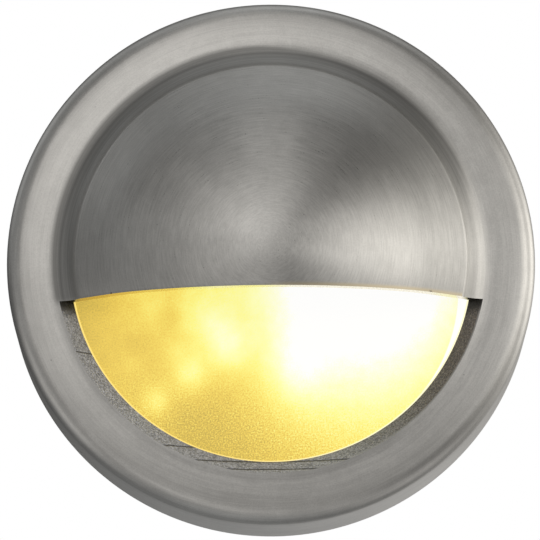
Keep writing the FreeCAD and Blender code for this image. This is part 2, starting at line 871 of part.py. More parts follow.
def main():
    """Build every piece and write one file for each."""
    lead_inner, lead_outer = make_leads()
    nodes = {
        "eyelid_cover": make_eyelid_cover(),
        "lens": make_lens(),
        "lens_gasket": make_lens_gasket(),
        "lens_ring": make_lens_ring(),
        "lens_ring_screws": make_lens_ring_screws(),
        "set_screws": make_set_screws(),
        "wall_pad": make_wall_pad(),
        "base_plate": make_base_plate(),
        "base_spigot": make_base_spigot(),
        "body_o_ring": make_body_o_ring(),
        "cable_grommet": make_cable_grommet(),
        "reflector": make_reflector(),
        "reflector_screws": make_reflector_screws(),
        "lampholder": make_lampholder(),
        "lampholder_contacts": make_lampholder_contacts(),
        "lampholder_strap": make_lampholder_strap(),
        "strap_screws": make_strap_screws(),
        "terminal_block": make_terminal_block(),
        "terminal_clamps": make_terminal_clamps(),
        "terminal_screws": make_terminal_screws(),
        "terminal_fixing_screw": make_terminal_fixing_screw(),
        "lead_inner": lead_inner,
        "lead_outer": lead_outer,
        "lamp_capsule": make_lamp_capsule(),
        "lamp_pins": make_lamp_pins(),
        "lamp_filament": make_lamp_filament(),
    }
    os.makedirs("parts", exist_ok=True)
    for name, shape in nodes.items():
        shape.exportStep("parts/%s.step" % name)
        print("%s: %d solids, %.1f mm3" % (name, len(shape.Solids), shape.Volume))
    print("overall depth %.2f mm" % overall_depth)


main()
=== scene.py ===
"""Dresses the eyelid wall light: spun steel cover, lit frosted glass, base, lamp and a white stage.

Metres, +Z up. The wall is behind the light at y = 0 and the light faces -Y, so a depth d lies at y = -d.
"""
from math import asin, atan2, cos, hypot, inf, pi, radians, sin, sqrt, tan, tau

import bmesh
import bpy
from bpy.props import FloatProperty, FloatVectorProperty, IntProperty, PointerProperty
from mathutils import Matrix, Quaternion, Vector


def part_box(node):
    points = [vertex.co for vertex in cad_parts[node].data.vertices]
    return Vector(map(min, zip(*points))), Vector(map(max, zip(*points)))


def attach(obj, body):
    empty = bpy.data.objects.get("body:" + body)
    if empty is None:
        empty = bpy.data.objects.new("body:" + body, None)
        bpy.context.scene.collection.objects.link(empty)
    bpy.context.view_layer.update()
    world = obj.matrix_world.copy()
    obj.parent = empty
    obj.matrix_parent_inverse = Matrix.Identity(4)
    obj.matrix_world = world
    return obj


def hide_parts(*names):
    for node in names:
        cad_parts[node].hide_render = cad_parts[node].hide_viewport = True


bl_info = {
    "name": "Eyelid wall light",
    "version": (1, 0, 0),
    "blender": (4, 5, 0),
    "location": "View3D > Sidebar > Eyelid light",
    "description": "Spun cover, lit glass, base, lamp and stage of a small eyelid wall light",
    "category": "Object",
}

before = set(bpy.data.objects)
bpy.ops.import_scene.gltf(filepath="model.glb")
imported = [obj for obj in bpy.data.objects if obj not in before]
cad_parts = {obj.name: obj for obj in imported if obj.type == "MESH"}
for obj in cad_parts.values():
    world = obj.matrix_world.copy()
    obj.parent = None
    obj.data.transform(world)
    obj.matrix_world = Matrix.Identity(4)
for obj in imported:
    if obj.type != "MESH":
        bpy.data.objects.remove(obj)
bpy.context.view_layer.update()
cover_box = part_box("eyelid_cover")
glass_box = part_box("lens")
gasket_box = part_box("lens_gasket")
pad_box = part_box("wall_pad")

QUARTER = pi / 2
HARD_ANGLE = radians(32.0)  # sharper edges keep a hard line
WELD = 1e-7  # closer points become one
SEAM_WELD = 1.5e-6  # the same along the cover's cut
NODES_IN_ROW = 14  # how a node tree is laid out
NODE_SPACING = (190, 240)


# Sizes and colours that a user would change


def length(name, description, default):
    """A size in metres."""
    return FloatProperty(name=name, description=description, default=default, precision=5, unit="LENGTH")


def angle(name, description, degrees):
    """An angle, given in degrees."""
    return FloatProperty(name=name, description=description, default=radians(degrees), subtype="ANGLE")


def colour(name, description, default):
    """A finish colour."""
    return FloatVectorProperty(name=name, description=description, default=default, size=3, min=0.0,
                               max=1.0, subtype="COLOR")


class EyelidShape(bpy.types.PropertyGroup):
    """Sizes of the cover, the glass and the soft pieces."""

    cover_radius: length("Cover radius", "Outside radius of the ring", cover_box[1][0])
    cover_wall: length("Side wall", "Thickness of the ring's side wall", 0.0035)
    rear_gap: length("Rear gap", "Gap between the ring and the wall", -cover_box[1][1])
    rear_break: length("Rear edge", "Broken edge at the back of the ring", 0.0004)
    rim_round: length("Rim round", "Radius of the brim's outer edge", 0.0034)
    rim_width: length("Rim width", "From the outside of the ring to the foot of the hood", 0.0142)
    brim_lean: angle("Brim lean", "How far the brim leans back at its outer edge", 7.0)
    flare_radius: length("Flare radius", "Radius of the hollow where the hood flares into the brim", 0.0065)
    hood_rise: length("Hood rise", "Height of the hood's foot above the brim", 0.0034)
    foot_blend: length("Foot blend", "Softened width on each side of the hood's foot line", 0.0006)
    cone_width: length("Cone width", "Width of the straight band inside the hood's foot", 0.0053)
    shoulder_width: length("Shoulder width", "From the straight band in to the hood's knee", 0.0065)
    shoulder_radius: length("Shoulder radius", "Radius of the hood's shoulder", 0.031)
    crown_radius: length("Crown radius", "Radius of the hood's crown", 0.063)
    hood_wall: length("Hood wall", "Thickness of the hood", 0.0024)
    hood_edge: length("Hood edge", "Height of the hood's cut edge above the middle", -0.00835)
    window_lip: length("Window lip", "What the window leaves of the flare's foot", 0.0018)
    window_edge: length("Window edge", "Worn round along the front of the window", 0.0002)
    window_wall: length("Window wall", "Width of the sloping wall round the glass", 0.0026)
    ledge_land: length("Ledge land", "Height of the straight land in front of the ledge", 0.0006)
    seat_gap: length("Seat gap", "Gap between the gasket and its seat", 0.0001)
    screw_hole: length("Set screw hole", "Radius of each set screw's hole", 0.00205)
    screw_depth: length("Set screw depth", "How far each set screw lies out from the wall", 0.0054)
    glass_edge: length("Glass edge", "Ground edge of the glass disc", 0.0004)
    glass_overlap: length("Glass overlap", "How far the glass reaches behind the ledge", 0.0019)
    gasket_peek: length("Gasket peek", "How far the gasket shows inside the ledge", 0.00035)
    gasket_soft: length("Gasket edge", "Round on the gasket's showing edge", 0.0003)
    steps: IntProperty(name="Steps", description="Steps round a turned piece", default=288, min=24)


class EyelidColours(bpy.types.PropertyGroup):
    """Colours of the finishes."""

    steel: colour("Brushed steel", "The cover's outside", (0.612, 0.604, 0.584))
    cast: colour("Cast skin", "The cover's unworked inside", (0.355, 0.368, 0.425))
    edge_away_from_lamp: colour("Cut edge, away from lamp", "The hood's cut edge away from the lamp", (0.70, 0.58, 0.34))
    # The colour near the lamp is painted light: the cut edge lit by the glass
    edge_lamp_lit: colour("Cut edge, lamp lit", "The hood's cut edge near the lamp", (0.98, 0.93, 0.78))
    glass_hot: colour("Glass, brightest", "The glass over the lamp", (1.0, 1.0, 1.0))
    glass_pale: colour("Glass, pale", "The glass round the brightest spot", (0.985, 0.925, 0.245))
    glass_gold: colour("Glass, gold", "The glass away from the lamp", (0.845, 0.595, 0.098))
    glass_dim: colour("Glass, dim", "The glass at its dimmest", (0.545, 0.395, 0.075))
    silicone: colour("Silicone", "The gasket round the glass", (0.95, 0.72, 0.20))
    zinc: colour("Zinc plate", "Clamping ring, strap and clamp screws", (0.52, 0.54, 0.56))
    stainless: colour("Stainless", "The other screws", (0.60, 0.59, 0.57))
    foam: colour("Foam", "The pad against the wall", (0.022, 0.022, 0.024))
    rubber: colour("Rubber", "Seal ring and cable inlet", (0.018, 0.018, 0.019))
    aluminium: colour("Aluminium", "The base and the reflector", (0.66, 0.66, 0.65))
    ceramic: colour("Ceramic", "The lamp's socket", (0.78, 0.75, 0.68))
    brass: colour("Brass", "Contacts and clamps", (0.72, 0.52, 0.22))
    nylon: colour("Nylon", "The terminal block", (0.72, 0.70, 0.64))
    sleeve: colour("Sleeving", "The two leads", (0.70, 0.66, 0.55))
    tungsten: colour("Filament", "The glowing coil", (1.0, 0.62, 0.22))


class EyelidStage(bpy.types.PropertyGroup):
    """Camera, floor and even light."""

    distance: length("Camera distance", "From the camera to the light", 1.2)
    below: angle("Below", "How far the camera lies below the light's axis", 10.0)
    roll: angle("Roll", "Turn of the picture", 0.34)
    aim: FloatVectorProperty(name="Aim", description="The point in the middle of the picture",
                             default=(-0.0002, 0.0, 0.00195), subtype="TRANSLATION", precision=5)
    focal: FloatProperty(name="Focal length", description="Focal length in millimetres", default=384.9,
                         unit="CAMERA")
    floor: length("Floor", "Height of the floor", -0.32)
    fill: FloatProperty(name="Fill", description="Brightness of the even light", default=0.25, min=0.0)


# Node trees


class Value:
    """A node's output to reckon with: each sign makes the node for its step."""

    def __init__(self, bench, socket):
        self.bench = bench
        self.socket = socket

    def __add__(self, other):
        return self.bench.math("ADD", self, other)

    def __sub__(self, other):
        return self.bench.math("SUBTRACT", self, other)

    def __rsub__(self, other):
        return self.bench.math("SUBTRACT", other, self)

    def __mul__(self, other):
        return self.bench.math("MULTIPLY", self, other)

    def __truediv__(self, other):
        return self.bench.math("DIVIDE", self, other)

    def __abs__(self):
        return self.bench.math("ABSOLUTE", self)


class Bench:
    """A node tree under construction: makes nodes, sets their options and joins their inputs."""

    def __init__(self, tree):
        self.tree = tree

    def add(self, kind, inputs=None, **options):
        """Make a node. Each input is joined if it is another node's value, or else set."""
        node = self.tree.nodes.new(kind)
        row, column = divmod(len(self.tree.nodes), NODES_IN_ROW)
        node.location = (NODE_SPACING[0] * column, -NODE_SPACING[1] * row)
        for option, value in options.items():
            setattr(node, option, value)
        for socket, value in (inputs or {}).items():
            self.feed(node.inputs[socket], value)
        return node

    def feed(self, socket, value):
        """Join a socket to a value, or set it."""
        if isinstance(value, Value):
            self.tree.links.new(value.socket, socket)
        else:
            socket.default_value = value

    def made(self, kind, inputs=None, output=0, **options):
        """Make a node and give one of its outputs."""
        return Value(self, self.add(kind, inputs, **options).outputs[output])

    def named(self, kind, inputs=None, **options):
        """Make a node and give all its outputs by name."""
        return {socket.name: Value(self, socket) for socket in self.add(kind, inputs, **options).outputs}

    def math(self, operation, first, second=0.0):
        """One step of arithmetic."""
        return self.made("ShaderNodeMath", {0: first, 1: second}, operation=operation)

    def hypot(self, x, z):
        """The length of a line from its two sides."""
        return self.math("SQRT", x * x + z * z)

    def blend(self, first, second, third):
        """Two vectors multiplied, and a third added."""
        return self.made("ShaderNodeVectorMath", {0: first, 1: second, 2: third}, operation="MULTIPLY_ADD")

    def split(self, vector):
        """The three parts of a vector."""
        return list(self.named("ShaderNodeSeparateXYZ", {0: vector}).values())

    def join(self, x=0.0, y=0.0, z=0.0):
        """A vector of three parts."""
        return self.made("ShaderNodeCombineXYZ", {0: x, 1: y, 2: z})

    def spread(self, value, low, high, to_low=0.0, to_high=1.0, soft=True):
        """A value stretched from one range to another and held at its ends."""
        inputs = {"Value": value, "From Min": low, "From Max": high, "To Min": to_low, "To Max": to_high}
        kind = "SMOOTHSTEP" if soft else "LINEAR"
        return self.made("ShaderNodeMapRange", inputs, interpolation_type=kind)


class Finish(Bench):
    """A material under construction, with the one shader that each finish ends in.

    A point's place on the light is in metres: x across, y into the wall and z up.
    """

    def __init__(self, name, sockets):
        self.material = bpy.data.materials.new(name)
        self.material.use_nodes = True
        super().__init__(self.material.node_tree)
        self.shader = self.tree.nodes["Principled BSDF"]
        self.place = self.made("ShaderNodeTexCoord", output="Object")
        self.x, self.y, self.z = self.split(self.place)
        self.set(sockets)

    def set(self, sockets):
        """Set or join the shader's sockets."""
        for socket, value in sockets.items():
            self.feed(self.shader.inputs[socket], value)

    def run(self):
        """The length run along a turned piece's outline, from the height of its map."""
        return self.split(self.made("ShaderNodeUVMap", uv_map="UVMap"))[1]

    def noise(self, vector, scale, detail=2.0, rough=0.5):
        """Soft noise between 0 and 1."""
        inputs = {"Vector": vector, "Scale": scale, "Detail": detail, "Roughness": rough}
        return self.made("ShaderNodeTexNoise", inputs)

    def cells(self, scale, feature="F1"):
        """Distance in a pattern of cells, and each cell's own random number."""
        cell = self.named("ShaderNodeTexVoronoi", {"Vector": self.place, "Scale": scale}, feature=feature)
        return cell["Distance"], self.split(cell["Color"])[0]

    def mix(self, amount, first, second):
        """A colour between two others."""
        ends = [tone if isinstance(tone, Value) else (*tone, 1.0) for tone in (first, second)]
        return self.made("ShaderNodeMix", {0: amount, 6: ends[0], 7: ends[1]}, 2, data_type="RGBA")

    def tones(self, value, low, high, base, dark, light):
        """A base colour, darker where a value is low and lighter where it is high."""
        return self.mix(self.spread(value, low, high), shade(base, dark), shade(base, light))

    def ramp(self, value, stops):
        """A colour from a row of (place, colour) stops, in rising order."""
        node = self.add("ShaderNodeValToRGB", {0: value})
        row = node.color_ramp.elements
        while len(row) < len(stops):
            row.new(0.5)
        for stop, (position, tone) in zip(row, stops):
            stop.position = position
            stop.color = (*tone, 1.0)
        return Value(self, node.outputs[0])

    def rough(self, value, least, most, low=0.3, high=0.7):
        """Let a pattern set how rough the surface is."""
        self.set({"Roughness": self.spread(value, low, high, least, most, False)})

    def done(self, tone, height, strength, distance):
        """End a finish with its colour and a pattern that raises the surface."""
        inputs = {"Strength": strength, "Distance": distance, "Height": height}
        self.set({"Base Color": tone, "Normal": self.made("ShaderNodeBump", inputs)})
        return self.material


def shade(base, factor, most=1.0):
    """A colour made lighter or darker."""
    return tuple(min(most, part * factor) for part in base)


# Geometry node trees


def new_tree(name, sizes):
    """A geometry node tree with a geometry input, one input for each (name, kind) and a material."""
    tree = bpy.data.node_groups.new(name, "GeometryNodeTree")
    sockets = [("Geometry", "NodeSocketGeometry"), *sizes, ("Material", "NodeSocketMaterial")]
    for label, kind in sockets:
        tree.interface.new_socket(name=label, in_out="INPUT", socket_type=kind)
    tree.interface.new_socket(name="Geometry", in_out="OUTPUT", socket_type="NodeSocketGeometry")
    bench = Bench(tree)
    return bench, bench.named("NodeGroupInput")


def finish_tree(bench, given, geometry):
    """End a tree: realize what it placed and give it its material."""
    solid = bench.made("GeometryNodeRealizeInstances", {0: geometry})
    dressed = bench.made("GeometryNodeSetMaterial", {"Geometry": solid, "Material": given["Material"]})
    bench.add("NodeGroupOutput", {0: dressed})
    return bench.tree


def turning_tree():
    """Turns an outline about the light's axis.

    The outline's points hold a radius, a depth and the length run along it, which becomes the map's height.
    """
    bench, given = new_tree("Turning", [("Steps", "NodeSocketInt")])

    def stored(mesh, name, value, kind, domain):
        """A mesh that keeps a value under a name."""
        inputs = {"Geometry": mesh, "Name": name, "Value": value}
        return bench.made("GeometryNodeStoreNamedAttribute", inputs, data_type=kind, domain=domain)

    outline, steps = given["Geometry"], given["Steps"]
    count = bench.made("GeometryNodeAttributeDomainSize", {0: outline}, "Point Count", component="MESH")
    grid = bench.named("GeometryNodeMeshGrid", {"Vertices X": steps + 1.0, "Vertices Y": count})
    index = bench.made("GeometryNodeInputIndex")
    row = bench.math("MODULO", index, count)
    turn = bench.math("FLOOR", index / count) / steps * tau
    wanted = {"Geometry": outline, "Value": bench.made("GeometryNodeInputPosition"), "Index": row}
    point = bench.made("GeometryNodeSampleIndex", wanted, "Value", data_type="FLOAT_VECTOR", domain="POINT")
    radius, depth, run = bench.split(point)
    marked = stored(grid["Mesh"], "run", run, "FLOAT", "POINT")
    held = bench.made("GeometryNodeInputNamedAttribute", {"Name": "run"}, data_type="FLOAT")
    share = bench.split(grid["UV Map"])[0]
    mapped = stored(marked, "UVMap", bench.join(share, held), "FLOAT2", "CORNER")
    place = bench.join(radius * bench.math("COSINE", turn), depth * -1.0, radius * bench.math("SINE", turn))
    round_mesh = bench.made("GeometryNodeSetPosition", {"Geometry": mapped, "Position": place})
    closed = bench.made("GeometryNodeMergeByDistance", {"Geometry": round_mesh, "Distance": WELD})
    return finish_tree(bench, given, bench.made("GeometryNodeSetShadeSmooth", {0: closed}))


def punching_tree():
    """Punches a round pad: a sheet of a thickness with a hole at each of the geometry's points.

    Each point's own attribute holds its hole's radius. The sheet is made flat and then stood on the wall.
    """
    bench, given = new_tree("Punching", [("Radius", "NodeSocketFloat"), ("Thickness", "NodeSocketFloat")])

    def circle(points, radius):
        """A round outline."""
        return bench.made("GeometryNodeCurvePrimitiveCircle", {"Resolution": points, "Radius": radius})

    def together(first, second):
        """Two geometries in one."""
        both = bench.add("GeometryNodeJoinGeometry", {0: first})
        bench.feed(both.inputs[0], second)
        return Value(bench, both.outputs[0])

    rim = circle(200, given["Radius"])
    hole = circle(56, 1.0)
    wide = bench.made("GeometryNodeInputNamedAttribute", {"Name": "hole"}, data_type="FLOAT")
    spots = {"Points": given["Geometry"], "Instance": hole, "Scale": bench.join(wide, wide, wide)}
    rings = bench.made("GeometryNodeInstanceOnPoints", spots)
    holes = bench.made("GeometryNodeRealizeInstances", {0: rings})
    sheet = bench.made("GeometryNodeFillCurve", {0: together(rim, holes)})
    lift = {"Mesh": sheet, "Individual": False, "Offset Scale": given["Thickness"]}
    raised = bench.made("GeometryNodeExtrudeMesh", lift, mode="FACES")
    whole = together(raised, bench.made("GeometryNodeFlipFaces", {0: sheet}))
    closed = bench.made("GeometryNodeMergeByDistance", {"Geometry": whole, "Distance": WELD})
    upright = {"Geometry": closed, "Rotation": (QUARTER, 0.0, 0.0)}
    return finish_tree(bench, given, bench.made("GeometryNodeTransform", upright))


def placed(name, data):
    """A new object in the scene."""
    thing = bpy.data.objects.new(name, data)
    bpy.context.collection.objects.link(thing)
    return thing


def evaluated(helper, name):
    """A plain mesh of what a helper object's modifiers make. The helper is removed."""
    graph = bpy.context.evaluated_depsgraph_get()
    mesh = bpy.data.meshes.new_from_object(helper.evaluated_get(graph), preserve_all_data_layers=True,
                                           depsgraph=graph)
    mesh.name = name
    bpy.data.objects.remove(helper)
    if not mesh.polygons:
        raise RuntimeError("no faces were made for " + name)
    return mesh


def settle(flat, tree, inputs, name):
    """Run a tree on a mesh and keep only the plain mesh that it makes."""
    helper = placed(name + "_helper", flat)
    modifier = helper.modifiers.new("making", "NODES")
    modifier.node_group = tree
    for item in tree.interface.items_tree:
        if item.in_out == "INPUT" and item.name in inputs:
            modifier[item.identifier] = inputs[item.name]
    return evaluated(helper, name)


def turned(name, outline, steps, material=None):
    """A plain mesh turned from an outline of (radius, depth, run) points."""
    flat = bpy.data.meshes.new(name + "_outline")
    flat.from_pydata(outline, [(i, i + 1) for i in range(len(outline) - 1)], [])
    tree = bpy.data.node_groups.get("Turning") or turning_tree()
    return settle(flat, tree, {"Steps": steps, "Material": material}, name)


def punched(name, radius, thickness, holes, material):
    """A plain mesh of a round pad with holes of (across, up, radius) punched through it."""
    spots = bpy.data.meshes.new(name + "_spots")
    spots.from_pydata([(hole[0], hole[1], 0.0) for hole in holes], [], [])
    spots.attributes.new("hole", "FLOAT", "POINT").data.foreach_set("value", [hole[2] for hole in holes])
    inputs = {"Radius": radius, "Thickness": thickness, "Material": material}
    return outward(settle(spots, punching_tree(), inputs, name))


def show(mesh, name, body, slot, *nodes):
    """Put a finished mesh on the light: it rides a body and stands for CAD nodes."""
    piece = placed(name, mesh)
    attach(piece, body)
    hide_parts(*nodes)
    return piece


def outward(mesh):
    """Point a closed mesh's faces outwards and keep its hard edges hard."""
    work = bmesh.new()
    work.from_mesh(mesh)
    bmesh.ops.remove_doubles(work, verts=work.verts, dist=2 * WELD)
    bmesh.ops.recalc_face_normals(work, faces=work.faces)
    work.to_mesh(mesh)
    work.free()
    mesh.set_sharp_from_angle(angle=HARD_ANGLE)
    return mesh


def dress(material, *nodes):
    """Give CAD nodes a finish."""
    for node in nodes:
        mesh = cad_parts[node].data
        mesh.materials.clear()
        mesh.materials.append(material)


# Outlines: rows of (radius, depth) points
LEAN_POWER = 3  # how the brim's fall grows towards its outer edge


def with_runs(points, start=0.0, sign=1.0):
    """The points with the length run along them from the first."""
    runs = [start]
    for (r0, d0), (r1, d1) in zip(points, points[1:]):
        runs.append(runs[-1] + sign * hypot(r1 - r0, d1 - d0))
    return [(r, d, run) for (r, d), run in zip(points, runs)]


def bend(centre, radius, start, end, steps):
    """Points round a centre, from one angle to another, measured from outward towards the front."""
    angles = [start + (end - start) * i / steps for i in range(steps + 1)]
    return [(centre[0] + radius * cos(a), centre[1] + radius * sin(a)) for a in angles]


def quadratic(start, corner, end, steps):
    """Points of a soft corner between two ends."""
    points = []
    for i in range(steps + 1):
        t = i / steps
        points.append(tuple((1 - t) ** 2 * a + 2 * t * (1 - t) * b + t * t * c
                            for a, b, c in zip(start, corner, end)))
    return points


def straight(start, end, steps):
    """Points along a straight line."""
    return [tuple(a + (b - a) * i / steps for a, b in zip(start, end)) for i in range(steps + 1)]


def leaning(start, end, fall, steps):
    """Points from a start out to an end, falling more and more on the way."""
    across = end[0] - start[0]
    return [(start[0] + across * i / steps, start[1] - fall * (i / steps) ** LEAN_POWER)
            for i in range(steps + 1)]


# The cover: its four finishes, in the order of the mesh's materials
HOOD, RIM, SKIN, CUT = range(4)
SCREW_ANGLES = (0.0, 180.0)
WORN_REACH = 1.6  # how far the window's worn edge reaches down its wall, for each metre of its round


def cover_outlines(size):
    """The cover's two sections: through the hood, and through the ring below it, with the zone limits."""
    radius = size.cover_radius
    bore = radius - size.cover_wall
    ledge = -gasket_box[0][1]
    seat = gasket_box[1][0] + size.seat_gap
    glass_back = -glass_box[1][1]
    front = -cover_box[0][1]
    rear = size.rear_gap

    foot_radius = radius - size.rim_width
    knee = asin((foot_radius - size.cone_width - size.shoulder_width) / size.crown_radius)
    cone = asin(sin(knee) + size.shoulder_width / size.shoulder_radius)
    reach = size.crown_radius - size.shoulder_radius
    crown = (0.0, front - size.crown_radius)
    shoulder = (reach * sin(knee), crown[1] + reach * cos(knee))

    def cone_top(inset):
        """Where the shoulder runs into the cone, drawn in by a wall's thickness."""
        arm = size.shoulder_radius - inset
        return (shoulder[0] + arm * sin(cone), shoulder[1] + arm * cos(cone))

    foot = (foot_radius, cone_top(0.0)[1] - size.cone_width * tan(cone))
    brim = foot[1] - size.hood_rise
    flare_end = foot_radius + sqrt((2 * size.flare_radius - size.hood_rise) * size.hood_rise)
    flare = (flare_end, brim + size.flare_radius)
    rim_start = radius - size.rim_round * (1.0 - sin(size.brim_lean))
    fall = (rim_start - flare_end) * tan(size.brim_lean) / LEAN_POWER
    rim = (radius - size.rim_round, brim - fall - size.rim_round * cos(size.brim_lean))
    window = flare_end - size.window_lip
    aperture = window - size.window_wall
    turn_in = -QUARTER - asin((size.window_lip - size.window_edge) / size.flare_radius)
    foot_turn = atan2(foot[1] - flare[1], foot[0] - flare[0])
    soft_turn = foot_turn + size.foot_blend / size.flare_radius
    soft_start = bend(flare, size.flare_radius, soft_turn, soft_turn, 1)[0]
    soft_end = (foot[0] - size.foot_blend * cos(cone), foot[1] + size.foot_blend * sin(cone))

    # Up the outside, from the back edge to the middle of the crown
    side = [(radius - size.rear_break, rear), (radius, rear + size.rear_break)]
    side += straight(side[-1], (radius, rim[1]), 6)[1:-1]
    shared = side + bend(rim, size.rim_round, 0.0, QUARTER - size.brim_lean, 20)
    shared += leaning((flare_end, brim), (rim_start, brim - fall), fall, 12)[-2::-1]
    flare_count = len(shared) - 1
    shared += bend(flare, size.flare_radius, -QUARTER, turn_in, 2)[1:]
    up_hood = bend(flare, size.flare_radius, turn_in, soft_turn, 18)[1:-1]
    up_hood += quadratic(soft_start, foot, soft_end, 6)
    foot_count = len(shared) + len(up_hood) - 3
    up_hood += straight(soft_end, cone_top(0.0), 8)[1:]
    up_hood += bend(shoulder, size.shoulder_radius, QUARTER - cone, QUARTER - knee, 14)[1:]
    up_hood += bend(crown, size.crown_radius, QUARTER - knee, QUARTER, 36)[1:]
    outside = shared + up_hood

    # Back down the inside
    inner_cone = cone_top(size.hood_wall)
    inner_foot = (aperture, inner_cone[1] - (aperture - inner_cone[0]) * tan(cone))
    inner_shoulder = size.shoulder_radius - size.hood_wall
    under_hood = bend(crown, size.crown_radius - size.hood_wall, QUARTER, QUARTER - knee, 24)
    under_hood += bend(shoulder, inner_shoulder, QUARTER - knee, QUARTER - cone, 10)[1:]
    under_hood += straight(inner_cone, inner_foot, 6)[1:]
    behind = [(aperture, ledge + size.ledge_land), (aperture, ledge), (seat, ledge), (seat, glass_back),
              (bore, glass_back), (bore, rear), side[0]]

    hooded = with_runs(list(reversed(outside)))
    whole = hooded[-1][2]
    hooded = [(r, d, whole - run) for r, d, run in hooded]
    hooded += with_runs(list(reversed(under_hood + behind)), 0.0, -1.0)[1:]

    # The ring below the hood, with the window's worn edge and sloping wall
    wall_foot = behind[0]
    slant = (window - wall_foot[0], brim - wall_foot[1])
    share = 1.0 - WORN_REACH * size.window_edge / hypot(*slant)
    low = (wall_foot[0] + slant[0] * share, wall_foot[1] + slant[1] * share)
    worn = quadratic(shared[-1], (window, brim), low, 5)[1:]
    ring = with_runs(shared + worn + straight(low, wall_foot, 8)[1:] + behind[1:])
    runs = [run for r, d, run in with_runs(outside)]
    limits = {"flare": runs[flare_count], "foot": runs[foot_count], "worn": runs[len(shared) - 1]}
    return hooded, ring, limits


def half_cover(mesh, edge, above, stops):
    """One section's turned mesh, cut at the hood's edge, with its faces' finishes set.

    The stops are (height, finish) in rising order, for the mean height of a face's map.
    """
    work = bmesh.new()
    work.from_mesh(mesh)
    layer = work.loops.layers.uv["UVMap"]
    for face in work.faces:
        height = sum(corner[layer].uv.y for corner in face.loops) / len(face.loops)
        face.material_index = next(finish for stop, finish in stops if height < stop)
    geometry = work.verts[:] + work.edges[:] + work.faces[:]
    bmesh.ops.bisect_plane(work, geom=geometry, dist=0.1 * WELD, plane_co=(0.0, 0.0, edge),
                           plane_no=(0.0, 0.0, 1.0), clear_inner=above, clear_outer=not above)
    work.to_mesh(mesh)
    work.free()


def cover_mesh(size, hooded, ring, limits, materials):
    """The cover in one closed mesh: the hooded section above the cut, the ring below, and the cut face."""
    upper = turned("hooded", hooded, size.steps)
    lower = turned("ring", ring, size.steps)
    half_cover(upper, size.hood_edge, True, [(0.0, SKIN), (limits["foot"], RIM), (inf, HOOD)])
    half_cover(lower, size.hood_edge, False, [(limits["worn"], RIM), (inf, SKIN)])
    work = bmesh.new()
    for half in (upper, lower):
        work.from_mesh(half)
        bpy.data.meshes.remove(half)
    bmesh.ops.remove_doubles(work, verts=work.verts, dist=SEAM_WELD)
    border = [edge for edge in work.edges if len(edge.link_faces) == 1]
    made = bmesh.ops.holes_fill(work, edges=border, sides=0)["faces"]
    for face in made:
        face.material_index = CUT
        face.smooth = False
    bmesh.ops.triangulate(work, faces=made)
    bmesh.ops.recalc_face_normals(work, faces=work.faces)
    loose = [edge for edge in work.edges if len(edge.link_faces) != 2]
    if loose:
        raise RuntimeError("the cover has %d open edges" % len(loose))
    mesh = bpy.data.meshes.new("cover_shell")
    work.to_mesh(mesh)
    work.free()
    for material in materials:
        mesh.materials.append(material)
    return mesh


def bored(mesh, size):
    """The cover's mesh with the two set screw holes cut through its side wall."""
    cutter = bmesh.new()
    for degrees in SCREW_ANGLES:
        turn = radians(degrees)
        way = Vector((cos(turn), 0.0, sin(turn)))
        spin = way.to_track_quat("Z", "Y").to_matrix().to_4x4()
        spin.translation = way * size.cover_radius + Vector((0.0, -size.screw_depth, 0.0))
        bmesh.ops.create_cone(cutter, cap_ends=True, segments=40, radius1=size.screw_hole,
                              radius2=size.screw_hole, depth=4 * size.cover_wall, matrix=spin)
    for face in cutter.faces:
        face.material_index = SKIN
    tool_mesh = bpy.data.meshes.new("hole_cutter")
    cutter.to_mesh(tool_mesh)
    cutter.free()
    for material in mesh.materials:
        tool_mesh.materials.append(material)
    tool = placed("hole_cutter", tool_mesh)
    helper = placed("cover_helper", mesh)
    cut = helper.modifiers.new("holes", "BOOLEAN")
    cut.operation = "DIFFERENCE"
    cut.solver = "EXACT"
    cut.object = tool
    result = evaluated(helper, "cover_shell")
    bpy.data.objects.remove(tool)
    result.set_sharp_from_angle(angle=HARD_ANGLE)
    return result


# Finishes of the cover and the glass

# Painted glow of the lit glass: the tint it gives the hood's lip near the lamp
LIP_GLOW_TINT = (1.2, 1.06, 0.8)

# Mould lines on the wall round the glass: height, and where each starts and ends across
MOULD_LINES = (
    (-0.0187, -0.050, -0.020),
    (-0.0380, -0.030, 0.004),
    (-0.0411, -0.020, 0.022),
    (-0.0430, -0.012, 0.012),
)
# The cast skin: painted brown shade on the wall's right side, in stops, tinted by the lit glass; rubbed
# along the window; and painted shadow under the hood
PAINTED_BROWN_SHADE = ((0.32, (0.022, 0.016, 0.009)), (0.50, (0.085, 0.062, 0.040)), (0.68, (0.26, 0.20, 0.13)))
RUBBED = (0.42, 0.42, 0.43)
HOOD_SHADOW = (0.010, 0.009, 0.008)


